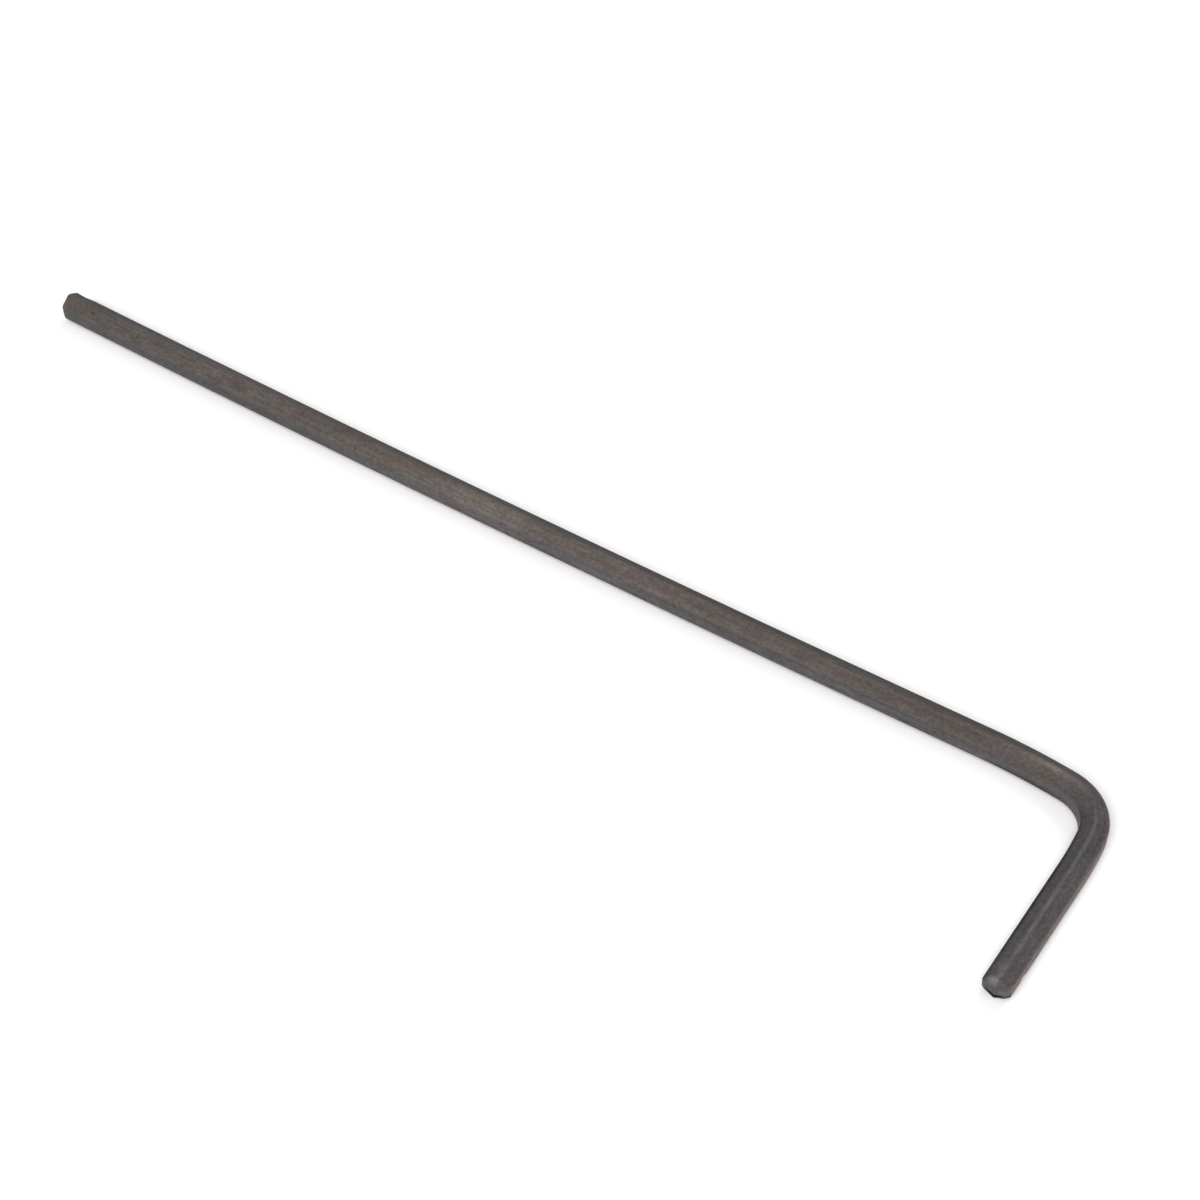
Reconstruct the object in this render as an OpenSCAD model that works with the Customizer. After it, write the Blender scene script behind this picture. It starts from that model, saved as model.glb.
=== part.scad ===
// Long hexagon key: one length of hexagonal steel bar, bent once and chamfered at both ends.
// It lies flat on its lower corners. The long arm runs along X, and the short arm comes forward along -Y.
// The origin is the middle of the rectangle that the key covers, on the surface that it lies on.

/* [Bar] */
// Width across two opposite flats, which is the key's nominal size
across_flats = 2.5; // [1.5:0.5:6]
// How far each drawn corner is rounded in from the point of a sharp hexagon
corner_cut = 0.04; // [0.02:0.01:0.1]

/* [Arms] */
// Overall length, from the long arm's end to the outer flat of the short arm
long_arm = 114.5; // [60:0.5:200]
// Overall height of the L, from the short arm's end to the outer flat of the long arm
short_arm = 23.7; // [18:0.1:40]
// Angle that the long arm turns through from end to end, as its slight bow towards the inside of the L
bow_angle = 2.1; // [0.3:0.1:4]

/* [Bend] */
// Radius of the bar's centre line in the tight middle of the bend
bend_radius = 4.7; // [3.6:0.1:8]
// Centre line radius where the long arm eases into the bend
ease_in_radius = 60; // [30:1:100]
// Angle turned while the long arm eases into the bend
ease_in_angle = 7.5; // [4:0.1:12]
// Centre line radius where the bend eases out into the short arm
ease_out_radius = 40; // [20:1:80]
// Angle turned while the bend eases out into the short arm
ease_out_angle = 5.9; // [2:0.1:12]

/* [Ends] */
// Chamfer along each edge of both end faces, as far along the bar as across it
chamfer = 0.3; // [0.1:0.05:0.5]

/* [Hidden] */

// The pieces of bar run this far into each other, and every second one is this much thicker all round,
// so that each end lies inside its neighbour
lap = 0.02;
swell = 0.001;

// Two of the flats stand upright, so the bar lies on a rounded corner
across_corners = 2 * (across_flats / sqrt(3) - corner_cut);
axis_height = across_corners / 2 + swell;

// Headings along the centre line are angles to the right of the X axis
end_heading = bow_angle / 2;
bend_heading = ease_in_angle - end_heading;
last_heading = 90;
ease_out_heading = last_heading - ease_out_angle;

// Step from one heading to another along an arc that turns right
function step(radius, from, to) = radius * [sin(to) - sin(from), cos(to) - cos(from)];
ease_in_step = step(ease_in_radius, -end_heading, bend_heading);
bend_step = step(bend_radius, bend_heading, ease_out_heading);
ease_out_step = step(ease_out_radius, ease_out_heading, last_heading);

// Where the pieces start and end on the centre line. The outer flats are at the back and at the right
back_axis_y = (short_arm - across_flats) / 2;
right_axis_x = (long_arm - across_flats) / 2;
long_end = [-long_arm / 2, back_axis_y];
ease_in_start = [right_axis_x - (ease_in_step + bend_step + ease_out_step).x, back_axis_y];
bend_start = ease_in_start + ease_in_step;
ease_out_start = bend_start + bend_step;
short_start = ease_out_start + ease_out_step;
short_end = [right_axis_x, -short_arm / 2];

// The bow is one arc, from the long arm's end to where the bar starts to turn the other way
bow_radius = (ease_in_start.x - long_end.x) / (2 * sin(end_heading));

// Facets of a full turn of the bow, of the easing arcs, of the bend and of the rounded corners
bow_steps = 7200;
ease_steps = 720;
bend_steps = 180;
corner_steps = 96;

// Section of the bar: a hexagon whose points are cut off by a circle
module bar_section(extra = 0) {
    intersection() {
        rotate(30)
            circle(d = 2 * (across_flats + 2 * extra) / sqrt(3), $fn = 6);
        circle(d = across_corners + 2 * extra, $fn = corner_steps);
    }
}

// Straight bar along X from the origin, with a lap at both ends
module straight_bar(length) {
    translate([-lap, 0, 0])
        rotate([90, 0, 90])
            linear_extrude(length + 2 * lap)
                bar_section();
}

// Bar that leaves the origin along X and turns right, with a lap at both ends if it has one
module bent_bar(radius, angle, steps, lap = lap, extra = 0) {
    lap_angle = lap / radius * 180 / PI;
    translate([0, -radius, 0])
        rotate_extrude(start = 90 + lap_angle, angle = -angle - 2 * lap_angle, $fn = steps)
            translate([radius, 0])
                bar_section(extra);
}

// What a chamfered end face takes off a bar that runs out past the origin along X
module end_cut() {
    face = across_flats - 2 * chamfer;
    depth = 2 * chamfer;
    difference() {
        translate([-depth, -across_flats, -across_flats])
            cube([2 * depth, 2 * across_flats, 2 * across_flats]);
        intersection_for (side = [0, 60, 120])
            rotate([side, 0, 0])
                linear_extrude(4 * across_flats, center = true)
                    polygon([
                        [0, face / 2], [0, -face / 2],
                        [-2 * depth, -face / 2 - 2 * depth], [-2 * depth, face / 2 + 2 * depth]
                    ]);
    }
}

// Places what follows at a point of the centre line, looking along a heading
module at(point, heading) {
    translate(point)
        rotate(-heading)
            children();
}

module long_arm_bar() {
    difference() {
        at(long_end, end_heading)
            mirror([0, 1, 0])
                bent_bar(bow_radius, bow_angle, bow_steps);
        at(long_end, end_heading + 180)
            end_cut();
    }
}

module bend_bar() {
    at(ease_in_start, -end_heading)
        bent_bar(ease_in_radius, ease_in_angle, ease_steps, lap = 0, extra = swell);
    at(bend_start, bend_heading)
        bent_bar(bend_radius, ease_out_heading - bend_heading, bend_steps);
    at(ease_out_start, ease_out_heading)
        bent_bar(ease_out_radius, ease_out_angle, ease_steps, lap = 0, extra = swell);
}

module short_arm_bar() {
    difference() {
        at(short_start, last_heading)
            straight_bar(short_start.y - short_end.y);
        at(short_end, last_heading)
            end_cut();
    }
}

// The whole key, lying on its lower corners
module hex_key() {
    color([0.21, 0.20, 0.19])
        translate([0, 0, axis_height]) {
            long_arm_bar();
            bend_bar();
            short_arm_bar();
        }
}

hex_key();
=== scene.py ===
import math

import bpy
import numpy as np
from mathutils import Matrix, Vector


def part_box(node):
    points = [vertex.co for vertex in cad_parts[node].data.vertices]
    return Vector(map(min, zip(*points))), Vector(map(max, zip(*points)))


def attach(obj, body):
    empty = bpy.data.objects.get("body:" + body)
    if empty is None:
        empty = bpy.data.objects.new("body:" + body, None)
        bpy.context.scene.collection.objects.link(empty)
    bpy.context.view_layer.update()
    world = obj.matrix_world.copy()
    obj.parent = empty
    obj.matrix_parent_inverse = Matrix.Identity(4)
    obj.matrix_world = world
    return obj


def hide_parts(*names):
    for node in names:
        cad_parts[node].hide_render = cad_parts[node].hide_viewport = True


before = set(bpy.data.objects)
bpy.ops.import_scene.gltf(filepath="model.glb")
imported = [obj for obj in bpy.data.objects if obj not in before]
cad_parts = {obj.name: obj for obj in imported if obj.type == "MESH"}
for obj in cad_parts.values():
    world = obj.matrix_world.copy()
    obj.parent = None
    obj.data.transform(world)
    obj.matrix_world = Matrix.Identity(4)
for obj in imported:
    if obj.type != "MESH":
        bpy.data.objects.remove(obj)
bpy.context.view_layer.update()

mm = 0.001  # the sizes below are in millimetres, and Blender's objects in metres


# The key

keyShape = {
    "acrossFlats": 2.5,
    "cornerFillet": 0.26,          # a rounded corner as wide as the CAD bar's
    "filletLimits": (0.02, 0.8),   # its least radius, and its greatest as a share of the ring's apothem
    "longArm": 114.5,
    "shortArm": 23.7,
    "bowAngle": 2.1,               # the long arm's slight curve, end to end, in degrees
    "easeInRadius": 60.0, "easeInAngle": 7.5, "easeInRings": 24,
    "bendRadius": 4.7, "bendRings": 72,
    "easeOutRadius": 40.0, "easeOutAngle": 5.9, "easeOutRings": 14,
    "skinDepth": 0.006,            # the skin lies this far inside the solid's flats
    "ringStep": 0.5,               # distance between rings of points along the straight bar
    "tipReach": 4.0,               # so far in from an end they lie tipStep apart
    "tipStep": 0.1,
    "tipGap": 0.05,                # the least distance from them to the chamfer
    "roundingRings": 6,            # rings in each rounded edge of a chamfer
    # where the rings of an end face lie, from its edge to its middle
    "faceRings": (0.08, 0.16, 0.24, 0.32, 0.40, 0.48, 0.56, 0.64, 0.72, 0.80, 0.92, 0.98),
    "filletPoints": 8,             # points across each rounded corner of the section
    "flatPoints": (0.04, 0.3, 0.7, 0.96),  # where the points lie across each flat
}

# How each end was ground: how far its chamfer goes in from the flats and back along the bar, how much the
# ground part leans and the side where it goes furthest back, in degrees from the outer flat up, the rounding
# of the chamfer's two edges, and how much more the corners are rounded for each millimetre in from the flats.
# A shallow dent has its distance from the end, its side, its reach along and around, and its depth.
longTip = {
    "across": 0.30, "back": 0.28, "lean": 0.19, "deepest": 232,
    "outerRound": 0.32, "faceRound": 0.26, "cornerGrowth": 1.2,
    "dents": {"waist": (1.15, 45, 0.75, 1.1, 0.06)},
}
shortTip = {
    "across": 0.31, "back": 0.28, "lean": 0.24, "deepest": 300,
    "outerRound": 0.06, "faceRound": 0.05, "cornerGrowth": -0.45,
    "dents": {"nick": (2.8, 330, 0.40, 0.5, 0.06), "burr": (0.0, 300, 0.3, 0.5, 0.04)},
}

# The painted shade on the rim of a cut, where it faces down: how far in from the flats it is full and gone,
# the side that it lies on, in degrees from the outer flat up, and how much of it there is a quarter turn from
# that side
rimShadeShape = {"full": 0.54, "gone": 0.82, "side": 276, "beside": 0.12}


def centreLine(shape):
    # An arc that turns right, seen from above, runs from its start p0 and heading h0 to
    # p0 + radius * (sin h - sin h0, cos h - cos h0), and one that turns left has a negative radius.
    # Headings are angles to the right of +X. Returns points, headings and lengths along the bar.
    bow = math.radians(shape["bowAngle"]) / 2
    into = math.radians(shape["easeInAngle"]) - bow
    last = math.pi / 2
    outOf = last - math.radians(shape["easeOutAngle"])
    half = shape["acrossFlats"] / 2

    def arc(radius, h0, h):
        return radius * np.stack([np.sin(h) - math.sin(h0), np.cos(h) - math.cos(h0)], -1)

    turns = [(shape["easeInRadius"], -bow, into, shape["easeInRings"]),
             (shape["bendRadius"], into, outOf, shape["bendRings"]),
             (shape["easeOutRadius"], outOf, last, shape["easeOutRings"])]
    swing = sum(arc(radius, h0, h1) for radius, h0, h1, count in turns)
    longRun = shape["longArm"] - half - swing[0]
    bowed = (-longRun / (2 * math.sin(bow)), bow, -bow, int(longRun / shape["ringStep"]))
    points = [np.array([[-shape["longArm"] / 2, shape["shortArm"] / 2 - half]])]
    headings = [np.array([bow])]
    for radius, h0, h1, count in [bowed] + turns:
        h = np.linspace(h0, h1, count + 1)[1:]
        points.append(points[-1][-1] + arc(radius, h0, h))
        headings.append(h)
    corner = points[-1][-1]
    shortRun = corner[1] + shape["shortArm"] / 2
    down = np.linspace(0, shortRun, int(shortRun / shape["ringStep"]) + 1)[1:, None]
    points.append(corner + down * np.array([0.0, -1.0]))
    headings.append(np.full(len(down), last))
    points, headings = np.concatenate(points), np.concatenate(headings)
    lengths = np.concatenate([[0], np.cumsum(np.linalg.norm(np.diff(points, axis=0), axis=1))])
    return points, headings, lengths


def sectionParts(shape):
    # A point of a hexagon with filleted corners is (apothem - fillet) * A + fillet * B, where A points at
    # the fillet's centre and B at the point from there. Both run on in a straight line across each flat.
    # Returns A, B and how near each point is to the middle of a corner, from 0 on the flats to 1.
    corners = np.radians(30 + 60 * np.arange(6))
    spread = np.linspace(-math.pi / 6, math.pi / 6, shape["filletPoints"])
    toCorner = np.stack([np.cos(corners), np.sin(corners)], 1)[:, None] * 2 / math.sqrt(3)
    centre = np.repeat(toCorner, len(spread), 1)
    angle = corners[:, None] + spread
    rim = np.stack([np.cos(angle), np.sin(angle)], 2)
    across = np.array(shape["flatPoints"])[None, :, None]
    flatA = centre[:, -1:] * (1 - across) + np.roll(centre, -1, 0)[:, :1] * across
    flatB = np.repeat(rim[:, -1:], across.size, 1)
    partA = np.concatenate([centre, flatA], 1).reshape(-1, 2)
    partB = np.concatenate([rim, flatB], 1).reshape(-1, 2)
    oneSide = np.concatenate([np.cos(spread * 3) ** 2, np.zeros(across.size)])
    return partA, partB, np.tile(oneSide, 6)


def tipProfile(tip, rings):
    # The cut end in profile: back from the face along the bar, and in from the flat. It is the side, a
    # 45 degree chamfer and the face, with an arc of a given radius in each of the two corners between them.
    c, r1, r2 = tip["across"], tip["outerRound"], tip["faceRound"]
    turn = np.linspace(0, math.pi / 4, rings)
    k = math.tan(math.pi / 8)
    first = np.stack([c + r1 * k - r1 * np.sin(turn), r1 * (1 - np.cos(turn))], 1)
    second = np.stack([r2 * (1 - np.cos(turn)), c + r2 * k - r2 * np.sin(turn)], 1)[::-1]
    return np.concatenate([first, second])


def ringPlaces(shape, ends, side, half, lengths):
    # The bar's rings keep the full section, a tip's shrink along its profile, and an end face's shrink
    # towards the middle. Returns how far along the bar each point of each ring lies, how far each ring is in
    # from the flats, and how much more its corners are rounded for each millimetre of that.
    runs, insets = [], []
    faceRings = np.array(shape["faceRings"])
    for tip in ends:
        # The chamfer is stretched along the bar by (back + lean * cos(side - deepest)) / across
        back, inset = tipProfile(tip, shape["roundingRings"]).T
        stretch = (tip["back"] + tip["lean"] * np.cos(side - math.radians(tip["deepest"]))) / tip["across"]
        near = np.arange(shape["tipReach"], back[0] * stretch.max() + shape["tipGap"], -shape["tipStep"])
        runs.append(np.concatenate([np.repeat(near[:, None], len(side), 1), back[:, None] * stretch,
                                    np.zeros((len(faceRings), len(side)))]))
        insets.append(np.concatenate([near * 0, inset, inset[-1] + (half - inset[-1]) * faceRings]))
    reach = shape["tipReach"] + shape["tipStep"]
    total = lengths[-1]
    body = lengths[(lengths > reach) & (lengths < total - reach)]
    along = np.concatenate([runs[0][::-1], np.repeat(body[:, None], len(side), 1), total - runs[1]])
    inset = np.concatenate([insets[0][::-1], np.zeros(len(body)), insets[1]])
    atFirst = np.arange(len(inset)) < len(insets[0])
    return along, inset, np.where(atFirst, ends[0]["cornerGrowth"], ends[1]["cornerGrowth"])


def pressDents(section, dents, fromEnd, side, half):
    # A dent of depth d moves a point in by d * exp(-(distance along / reach)^2 - (distance around / reach)^2)
    for place, at, reachAlong, reachAround, depth in dents.values():
        around = half * np.abs((side - math.radians(at) + math.pi) % (2 * math.pi) - math.pi)
        fall = np.exp(-((fromEnd - place) / reachAlong) ** 2 - (around / reachAround) ** 2)
        section = section * (1 - depth * fall / half)[..., None]
    return section


def cutRimShade(shape, inset, side):
    # Painted shade on a cut's rim. f goes from 0 to 1 over the rim's width, and the rim is (1 - f)^2 * (1 + 2
    # f) * (beside + cos(angle to its side)), with the last factor kept from 0 to 1
    f = np.clip((inset - shape["full"]) / (shape["gone"] - shape["full"]), 0, 1)
    facing = np.clip(shape["beside"] + np.cos(side - math.radians(shape["side"])), 0, 1)
    return ((1 - f) ** 2 * (1 + 2 * f))[:, None] * facing


def skinFaces(rings, across):
    # Quads between each ring and the next, and a fan from each end's ring to the middle of its face
    i, j = np.meshgrid(np.arange(rings - 1), np.arange(across), indexing="ij")
    here, beside = i * across + j, i * across + (j + 1) % across
    quads = np.stack([here, here + across, beside + across, beside], 2).reshape(-1, 4)
    j = np.arange(across)
    after = (j + 1) % across
    middle = rings * across
    lastRow = middle - across
    firstFan = np.stack([np.full(across, middle), j, after], 1)
    lastFan = np.stack([np.full(across, middle + 1), lastRow + after, lastRow + j], 1)
    return quads.tolist() + firstFan.tolist() + lastFan.tolist()


def keepOnPoints(mesh, name, kind, values):
    # Stores a number or a vector at each point of the mesh, for the material to read
    stored = mesh.attributes.new(name, kind, "POINT")
    stored.data.foreach_set("value" if kind == "FLOAT" else "vector", values.astype(np.float32).ravel())


def buildKey(shape, ends, rim, lift):
    # The skin is one grid, rings along the bar by points round its section. A point that is out and up from
    # the centre line, where the bar heads at angle h, lies at (x + out * sin h, y + out * cos h, lift + up).
    points, headings, lengths = centreLine(shape)
    partA, partB, ridge = sectionParts(shape)
    side = np.arctan2(partA[:, 1], partA[:, 0])
    half = shape["acrossFlats"] / 2 - shape["skinDepth"]
    along, inset, growth = ringPlaces(shape, ends, side, half, lengths)
    total = lengths[-1]

    apothem = half - inset
    least, share = shape["filletLimits"]
    fillet = np.clip(shape["cornerFillet"] + growth * inset, least, apothem * share)
    section = (apothem - fillet)[:, None, None] * partA + fillet[:, None, None] * partB
    for tip, fromEnd in zip(ends, (along, total - along)):
        section = pressDents(section, tip["dents"], fromEnd, side, half)
    out, up = section[..., 0], section[..., 1]

    x, y = np.interp(along, lengths, points[:, 0]), np.interp(along, lengths, points[:, 1])
    heading = np.interp(along, lengths, headings)
    skin = np.stack([x + out * np.sin(heading), y + out * np.cos(heading), lift + up], 2)
    middles = [[x[0, 0], y[0, 0], lift], [x[-1, 0], y[-1, 0], lift]]
    vertices = np.concatenate([skin.reshape(-1, 3), middles]) * mm

    mesh = bpy.data.meshes.new("bentBar")
    mesh.from_pydata(vertices, [], skinFaces(*out.shape))
    barSpace = np.stack([along, out, up], 2).reshape(-1, 3)
    keepOnPoints(mesh, "barSpace", "FLOAT_VECTOR", np.concatenate([barSpace, [[0, 0, 0], [total, 0, 0]]]))
    cut = (inset > 0)[:, None]
    keepOnPoints(mesh, "ridge", "FLOAT", np.append(np.where(cut, 0, ridge), [0, 0]))
    # painted shade on the rims of the cut ends, darkest where they face down
    keepOnPoints(mesh, "cutRimShade", "FLOAT", np.append(np.where(cut, cutRimShade(rim, inset, side), 0), [0, 0]))
    mesh.polygons.foreach_set("use_smooth", np.ones(len(mesh.polygons), bool))
    mesh.update()
    piece = bpy.data.objects.new("bentBar", mesh)
    bpy.context.scene.collection.objects.link(piece)
    return piece


# The black oxide finish, with painted light and painted shade among its colours. Its patterns are laid out in
# the bar's own space, barSpace, which has the distance along the bar, out from its middle and up, in
# millimetres.

oxideFinish = {
    "cool": (0.0832, 0.0762, 0.0784),
    "warm": (0.0930, 0.0776, 0.0706),    # the long arm's upper flats, warmer than the rest: painted light, the cooler rest standing for cool reflected light
    "rose": (0.1240, 0.0900, 0.0862),    # the short arm's outer flat, lighter and rosy: a painted reflection
    "bareAndHighlight": (0.2000, 0.1850, 0.1700),    # worn corners, with a painted highlight on them
    "roughness": (0.40, 0.52),
    "gloss": 0.10,
    "bump": 0.00004,                     # in metres
    "rimShadeTone": 0.02,                     # painted shade on the rim of the cut ends
    "ridgeWearAndHighlight": (0.10, 0.08),           # bare metal and a painted highlight on the corners of the long arm and of the short arm
    "leastWearAndHighlight": 0.05,
    "grainEnds": (0.85, 1.15),           # where the grain and the drawing count as none and as full
    # from one place along the bar to another, the change to the short arm, the long arm's painted warm light,
    # and the painted shade on its upper back flat
    "armTurn": (107.0, 114.0, 0.0, 1.0),
    "warmAlong": (0.0, 30.0, 0.75, 1.0),
    "backShade": (5.0, 107.0, 0.56, 0.43),
    # how far up or out each part of the section begins and is full
    "upperSide": (0.45, 0.85),
    "outerFlat": (1.00, 1.26),
    "backFlat": (0.05, 0.35),
    # noise fields: features per millimetre along the bar, out and up, an offset and the swing up and down
    "mottle": ((0.55, 1.10, 1.10), (3.1, 7.3, 1.9), 0.14),
    "grain": ((2.90, 4.20, 4.20), (8.2, 0.7, 5.5), 0.25),
    "drawing": ((0.045, 3.60, 3.60), (1.4, 2.2, 6.1), 0.18),
    "drift": ((0.06, 0.15, 0.15), (5.0, 4.0, 2.0), 0.10),
    "warmTint": ((0.80, 1.20, 1.20), (9.6, 3.3, 0.8), 0.064),
    "greenTint": ((0.90, 1.35, 1.35), (2.7, 6.1, 4.4), 0.082),
    "noiseEnds": (0.25, 0.75),           # nearly all of the noise lies between these
    "markCore": 0.15,                    # the share of a mark's reach where its tone is full
}

# Places where the surface is lighter or darker than the rest, some of them painted shade and painted
# highlights:
# middle along, out and up, reach along and across, and its tone beside the rest
oxideMarksAndPaintedLight = {
    "farSide": ((22.0, -1.25, 0.00), (21.0, 1.10), 0.85),
    # painted highlight on the inner flat
    "nearSide": ((60.0, -1.25, 0.00), (8.0, 0.80), 1.12),
    # painted highlight: a broad lighter stretch on the long arm's upper flat
    "broadHighlight": ((50.2, -0.60, 1.08), (8.0, 1.8), 1.38),
    "lightStretch": ((62.0, -0.60, 1.08), (14.0, 1.6), 1.08),
    "darkStretch": ((94.0, -0.60, 1.08), (20.0, 1.30), 0.78),
    "lightLine": ((82.0, -1.02, 0.85), (40.0, 0.24), 1.07),
    "darkLine": ((84.0, -1.25, 0.56), (36.0, 0.28), 0.82),
    "lowerLine": ((78.0, -1.25, 0.00), (38.0, 0.32), 1.07),
    "bendShade": ((111.0, -0.30, 1.25), (5.5, 1.40), 0.80),
    # painted light where the upper back flat turns toward the lamps at the bend
    "bendLight": ((108.4, 0.22, 1.30), (4.8, 0.82), 1.62),
    "bendLine": ((105.5, -1.12, 0.78), (5.0, 0.40), 0.76),
    "bendEdge": ((106.0, -1.22, -0.50), (5.5, 0.50), 0.50),
    "outerShade": ((116.0, 0.60, 1.10), (4.5, 0.70), 0.80),
    # painted highlight along the short arm's upper ridge
    "topRidgeHighlight": ((126.0, -0.06, 1.40), (16.0, 0.42), 1.42),
    "cutBand": ((132.3, -0.24, 1.30), (1.8, 0.53), 1.42),
    "cutGlow": ((129.8, 0.35, 1.24), (4.0, 0.55), 1.09),
    "shadeEdge": ((124.0, -1.25, 0.72), (18.0, 0.55), 0.25),
    "smudge": ((21.4, -0.55, 1.10), (1.7, 0.65), 0.84),
    "besideSmudge": ((23.4, -0.90, 1.00), (0.8, 0.35), 1.14),
    "speck": ((3.7, -0.60, 1.10), (0.40, 0.30), 0.74),
    "smallSpeck": ((2.8, -0.75, 1.00), (0.30, 0.25), 0.82),
    "pit": ((53.4, -0.85, 0.90), (0.35, 0.30), 0.82),
    "glint": ((68.8, -1.00, 0.85), (2.4, 0.30), 1.15),
    "farEnd": ((1.0, -0.40, 1.00), (9.0, 3.0), 0.90),
    "brightCut": ((133.05, -0.30, 0.88), (0.40, 0.72), 2.10),
    "faceGlow": ((133.2, 0.95, -0.28), (0.40, 0.80), 1.80),
    # painted reflection on the short arm's outer flat
    "outerGlow": ((131.4, 1.25, 0.10), (3.0, 0.80), 1.22),
}


def addNode(tree, kind, inputs, **options):
    # Makes a node, sets its options, and gives each input a value or a link from another node's output
    made = tree.nodes.new(kind)
    for option, value in options.items():
        setattr(made, option, value)
    for place, value in inputs.items():
        if isinstance(value, bpy.types.NodeSocket):
            tree.links.new(value, made.inputs[place])
        else:
            made.inputs[place].default_value = value
    return made


def calculate(tree, operation, *values):
    return addNode(tree, "ShaderNodeMath", dict(enumerate(values)), operation=operation).outputs[0]


def calculateVector(tree, operation, *values):
    return addNode(tree, "ShaderNodeVectorMath", dict(enumerate(values)), operation=operation).outputs


def ramp(tree, value, start, end, low=0.0, high=1.0, easing="SMOOTHSTEP"):
    # From low to high as the value goes from start to end, eased at both unless told otherwise
    inputs = {"Value": value, "From Min": start, "From Max": end, "To Min": low, "To Max": high}
    return addNode(tree, "ShaderNodeMapRange", inputs, interpolation_type=easing).outputs["Result"]


def mixColours(tree, amount, first, second):
    inputs = {0: amount}
    for place, value in ((6, first), (7, second)):
        inputs[place] = value if isinstance(value, bpy.types.NodeSocket) else (*value, 1)
    return addNode(tree, "ShaderNodeMix", inputs, data_type="RGBA").outputs[2]


def attribute(tree, name, output="Fac"):
    return addNode(tree, "ShaderNodeAttribute", {}, attribute_name=name).outputs[output]


def noiseField(tree, place, finish, name, detail=2.0):
    # A noise from 1 - swing to 1 + swing
    scale, offset, swing = finish[name]
    mapped = addNode(tree, "ShaderNodeMapping", {"Vector": place, "Location": offset, "Scale": scale})
    inputs = {"Vector": mapped.outputs["Vector"], "Scale": 1.0, "Detail": detail}
    noise = addNode(tree, "ShaderNodeTexNoise", inputs).outputs["Fac"]
    return ramp(tree, noise, *finish["noiseEnds"], 1 - swing, 1 + swing, easing="LINEAR")


def markField(tree, place, mark, core):
    # The mark's tone at its middle, and 1 from its reach outwards
    middle, (alongReach, acrossReach), tone = mark
    moved = calculateVector(tree, "SUBTRACT", place, middle)[0]
    scaled = calculateVector(tree, "DIVIDE", moved, (alongReach, acrossReach, acrossReach))[0]
    return ramp(tree, calculateVector(tree, "LENGTH", scaled)["Value"], core, 1.0, tone, 1.0)


def blackOxide(finish, marks):
    material = bpy.data.materials.new("blackOxide")
    material.use_nodes = True
    tree = material.node_tree
    shader = tree.nodes["Principled BSDF"]
    place = attribute(tree, "barSpace", "Vector")
    along, out, up = addNode(tree, "ShaderNodeSeparateXYZ", {"Vector": place}).outputs
    grain = noiseField(tree, place, finish, "grain")
    drawing = noiseField(tree, place, finish, "drawing", detail=3.0)

    # Colour: cool, with painted warm light on the long arm's upper side and a painted rosy reflection on the
    # outside of the short arm
    onShort = ramp(tree, along, *finish["armTurn"])
    onLong = calculate(tree, "SUBTRACT", ramp(tree, along, *finish["warmAlong"]), onShort)
    # painted light: the long arm's upper side is warmer
    warmth = calculate(tree, "MULTIPLY", ramp(tree, up, *finish["upperSide"]), onLong)
    warmth = calculate(tree, "MAXIMUM", warmth, 0.0)
    # painted reflection: the short arm's outer flat is lighter and rosy
    outerFlat = calculate(tree, "MULTIPLY", ramp(tree, out, *finish["outerFlat"]), onShort)
    colour = mixColours(tree, warmth, finish["cool"], finish["warm"])
    colour = mixColours(tree, outerFlat, colour, finish["rose"])
    red = noiseField(tree, place, finish, "warmTint")
    green = noiseField(tree, place, finish, "greenTint")
    tint = addNode(tree, "ShaderNodeCombineXYZ", {0: red, 1: green, 2: calculate(tree, "SUBTRACT", 2.0, red)})
    colour = calculateVector(tree, "MULTIPLY", colour, tint.outputs[0])[0]

    # Tone: the noise fields, the painted shade on the upper back flat, the marks and the painted shade on the
    # rim of the cuts, multiplied
    tones = [grain, drawing, noiseField(tree, place, finish, "mottle"),
             noiseField(tree, place, finish, "drift", detail=0.0)]
    # painted shade: the long arm's upper back flat is darker
    backFlat = calculate(tree, "MULTIPLY", warmth, ramp(tree, out, *finish["backFlat"]))
    tones.append(ramp(tree, backFlat, 0.0, 1.0, 1.0, ramp(tree, along, *finish["backShade"])))
    tones += [markField(tree, place, mark, finish["markCore"]) for mark in marks.values()]
    tones.append(ramp(tree, attribute(tree, "cutRimShade"), 0.0, 1.0, 1.0, finish["rimShadeTone"]))
    tone = tones[0]
    for other in tones[1:]:
        tone = calculate(tree, "MULTIPLY", tone, other)
    colour = addNode(tree, "ShaderNodeVectorMath", {0: colour, "Scale": tone}, operation="SCALE").outputs[0]

    # Worn corners with a painted highlight, where the grain stands up
    # painted highlight mixed with the wear on the corners
    wornAndLitMost = ramp(tree, onShort, 0.0, 1.0, *finish["ridgeWearAndHighlight"])
    wornAndLit = ramp(tree, grain, *finish["grainEnds"], finish["leastWearAndHighlight"], wornAndLitMost)
    wornAndLit = calculate(tree, "MULTIPLY", attribute(tree, "ridge"), wornAndLit)
    colour = mixColours(tree, wornAndLit, colour, finish["bareAndHighlight"])

    relief = calculate(tree, "MULTIPLY", grain, drawing)
    bump = addNode(tree, "ShaderNodeBump", {"Strength": 1.0, "Distance": finish["bump"], "Height": relief})
    shader.inputs["Specular IOR Level"].default_value = finish["gloss"]
    roughness = ramp(tree, drawing, *finish["grainEnds"], *finish["roughness"])
    for name, value in (("Base Color", colour), ("Roughness", roughness), ("Normal", bump.outputs["Normal"])):
        tree.links.new(value, shader.inputs[name])
    return material


# The floor, the lamps and the camera

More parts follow.
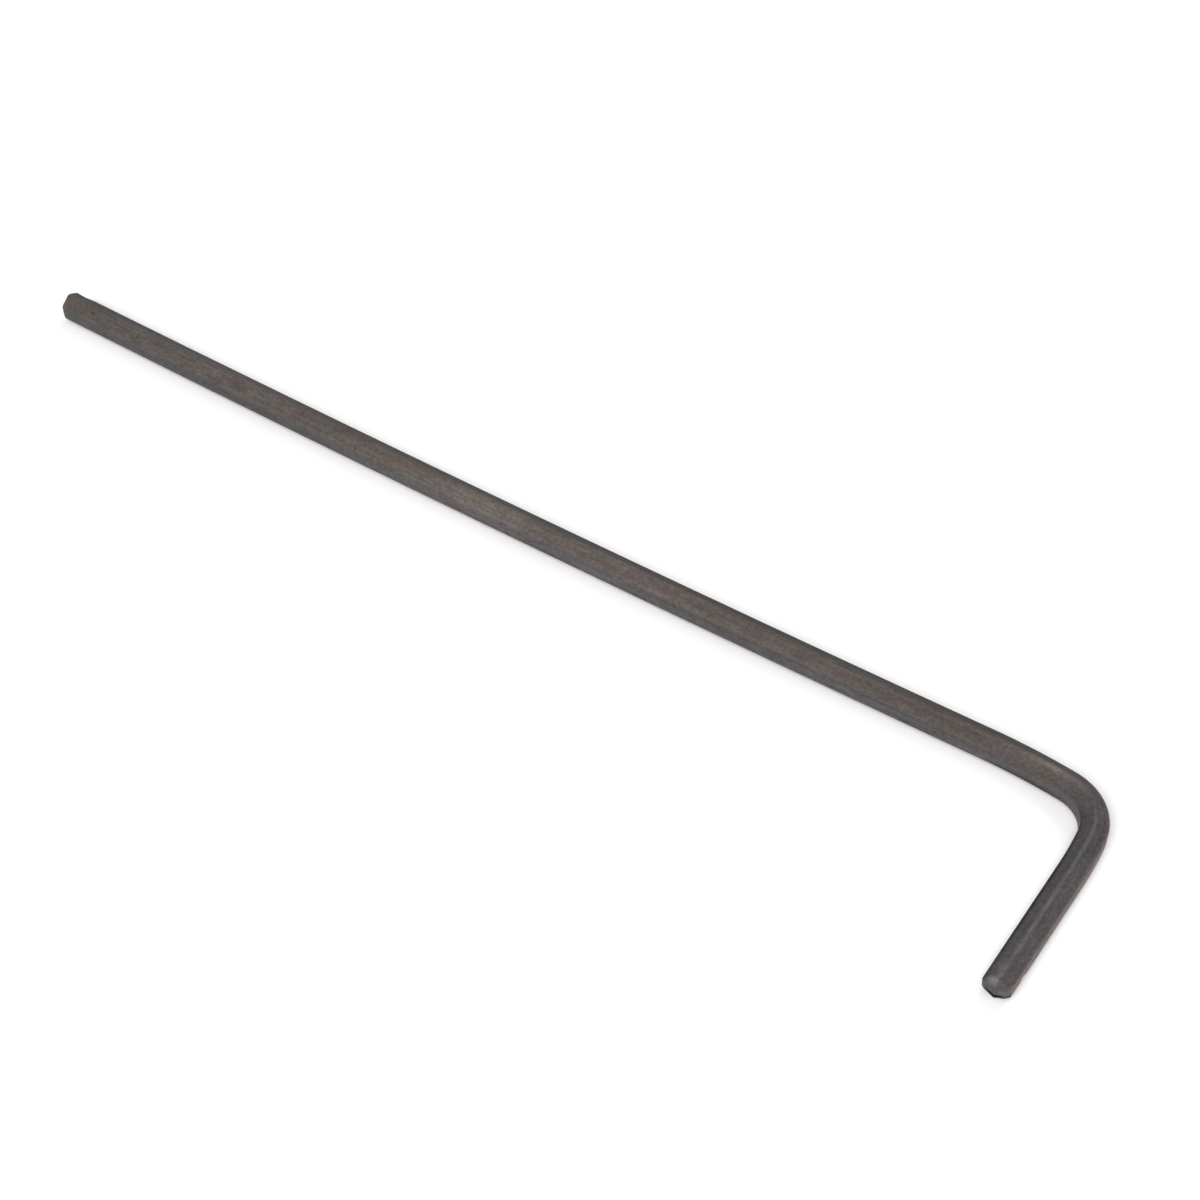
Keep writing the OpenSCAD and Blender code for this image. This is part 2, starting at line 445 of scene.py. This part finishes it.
studio = {
    "floorReach": 3.0,        # from its middle to its sides, in metres
    "floorColour": (0.90, 0.90, 0.90),
    # What the camera and reflections see: it adds up to white where the paper is open, and to a faint rose
    # in its shadows
    "seenColour": (0.925, 0.975, 0.975),
    "seenLift": (0.095, 0.045, 0.045),
    "worldColour": (1.0, 1.0, 1.0),
    "worldStrength": 0.15,
    # name, degrees to the right of the front, degrees up, strength and angular size in degrees
    "suns": [
        ("front", 5, 52, 1.88, 35),
        ("frontLower", 5, 38, 0.92, 35),
        ("right", 90, 30, 0.52, 35),
        ("back", 175, 50, 0.57, 35),
        ("overhead", 0, 90, 0.29, 50),
    ],
}

view = {
    "focal": 2796.08, "picture": 1200,  # both in pixels
    "sensor": 36.0,
    "azimuth": 30.7736, "elevation": 46.9546, "roll": 2.3612,
    "distance": 251.3014,
    "target": (6.6250, 7.4056, 0.0),
    "clip": (0.01, 20.0),               # in metres
}


def towards(azimuth, elevation):
    # The direction so many degrees to the right of the front, which is -Y, and so many degrees up
    turn, rise = math.radians(azimuth), math.radians(elevation)
    return Vector((math.sin(turn) * math.cos(rise), -math.cos(turn) * math.cos(rise), math.sin(rise)))


def buildFloor(room):
    reach = room["floorReach"]
    corners = [(-reach, -reach, 0), (reach, -reach, 0), (reach, reach, 0), (-reach, reach, 0)]
    mesh = bpy.data.meshes.new("floor")
    mesh.from_pydata(corners, [], [(0, 1, 2, 3)])
    floor = bpy.data.objects.new("floor", mesh)
    bpy.context.scene.collection.objects.link(floor)
    material = bpy.data.materials.new("palePaper")
    material.use_nodes = True
    tree = material.node_tree
    shader = tree.nodes["Principled BSDF"]
    shader.inputs["Roughness"].default_value = 1.0
    shader.inputs["Specular IOR Level"].default_value = 0.0
    shader.inputs["Emission Color"].default_value = (*room["seenLift"], 1)
    path = addNode(tree, "ShaderNodeLightPath", {}).outputs
    mirrored = calculate(tree, "MAXIMUM", path["Is Glossy Ray"], path["Is Transmission Ray"])
    seen = calculate(tree, "MAXIMUM", path["Is Camera Ray"], mirrored)
    tree.links.new(seen, shader.inputs["Emission Strength"])
    paper = mixColours(tree, seen, room["floorColour"], room["seenColour"])
    tree.links.new(paper, shader.inputs["Base Color"])
    mesh.materials.append(material)


def buildLamps(room):
    for name, azimuth, elevation, strength, softness in room["suns"]:
        lamp = bpy.data.lights.new(name, "SUN")
        lamp.energy = strength
        lamp.angle = math.radians(softness)
        holder = bpy.data.objects.new(name, lamp)
        holder.rotation_euler = towards(azimuth, elevation).to_track_quat("Z", "Y").to_euler()
        bpy.context.scene.collection.objects.link(holder)
    world = bpy.data.worlds.new("studio")
    world.use_nodes = True
    background = world.node_tree.nodes["Background"]
    background.inputs["Color"].default_value = (*room["worldColour"], 1)
    background.inputs["Strength"].default_value = room["worldStrength"]
    bpy.context.scene.world = world


def buildCamera(shot):
    back = towards(shot["azimuth"], shot["elevation"])
    turn, roll = math.radians(shot["azimuth"]), math.radians(shot["roll"])
    right = Vector((math.cos(turn), math.sin(turn), 0))
    up = back.cross(right)
    across = right * math.cos(roll) + up * math.sin(roll)
    upright = up * math.cos(roll) - right * math.sin(roll)
    camera = bpy.data.objects.new("camera", bpy.data.cameras.new("camera"))
    camera.data.sensor_width = shot["sensor"]
    camera.data.lens = shot["focal"] / shot["picture"] * shot["sensor"]
    camera.data.clip_start, camera.data.clip_end = shot["clip"]
    place = (Vector(shot["target"]) + back * shot["distance"]) * mm
    camera.matrix_world = Matrix.Translation(place) @ Matrix((across, upright, back)).transposed().to_4x4()
    bpy.context.scene.collection.objects.link(camera)
    bpy.context.scene.camera = camera


low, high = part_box("hex_key")
key = buildKey(keyShape, (longTip, shortTip), rimShadeShape, (low.z + high.z) / 2 / mm)
key.data.materials.append(blackOxide(oxideFinish, oxideMarksAndPaintedLight))
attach(key, "root")
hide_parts("hex_key")
print("key:", len(key.data.polygons), "faces")

buildFloor(studio)
buildLamps(studio)
buildCamera(view)
bpy.context.scene.view_settings.view_transform = "Standard"
print("studio: floor, lamps and camera")
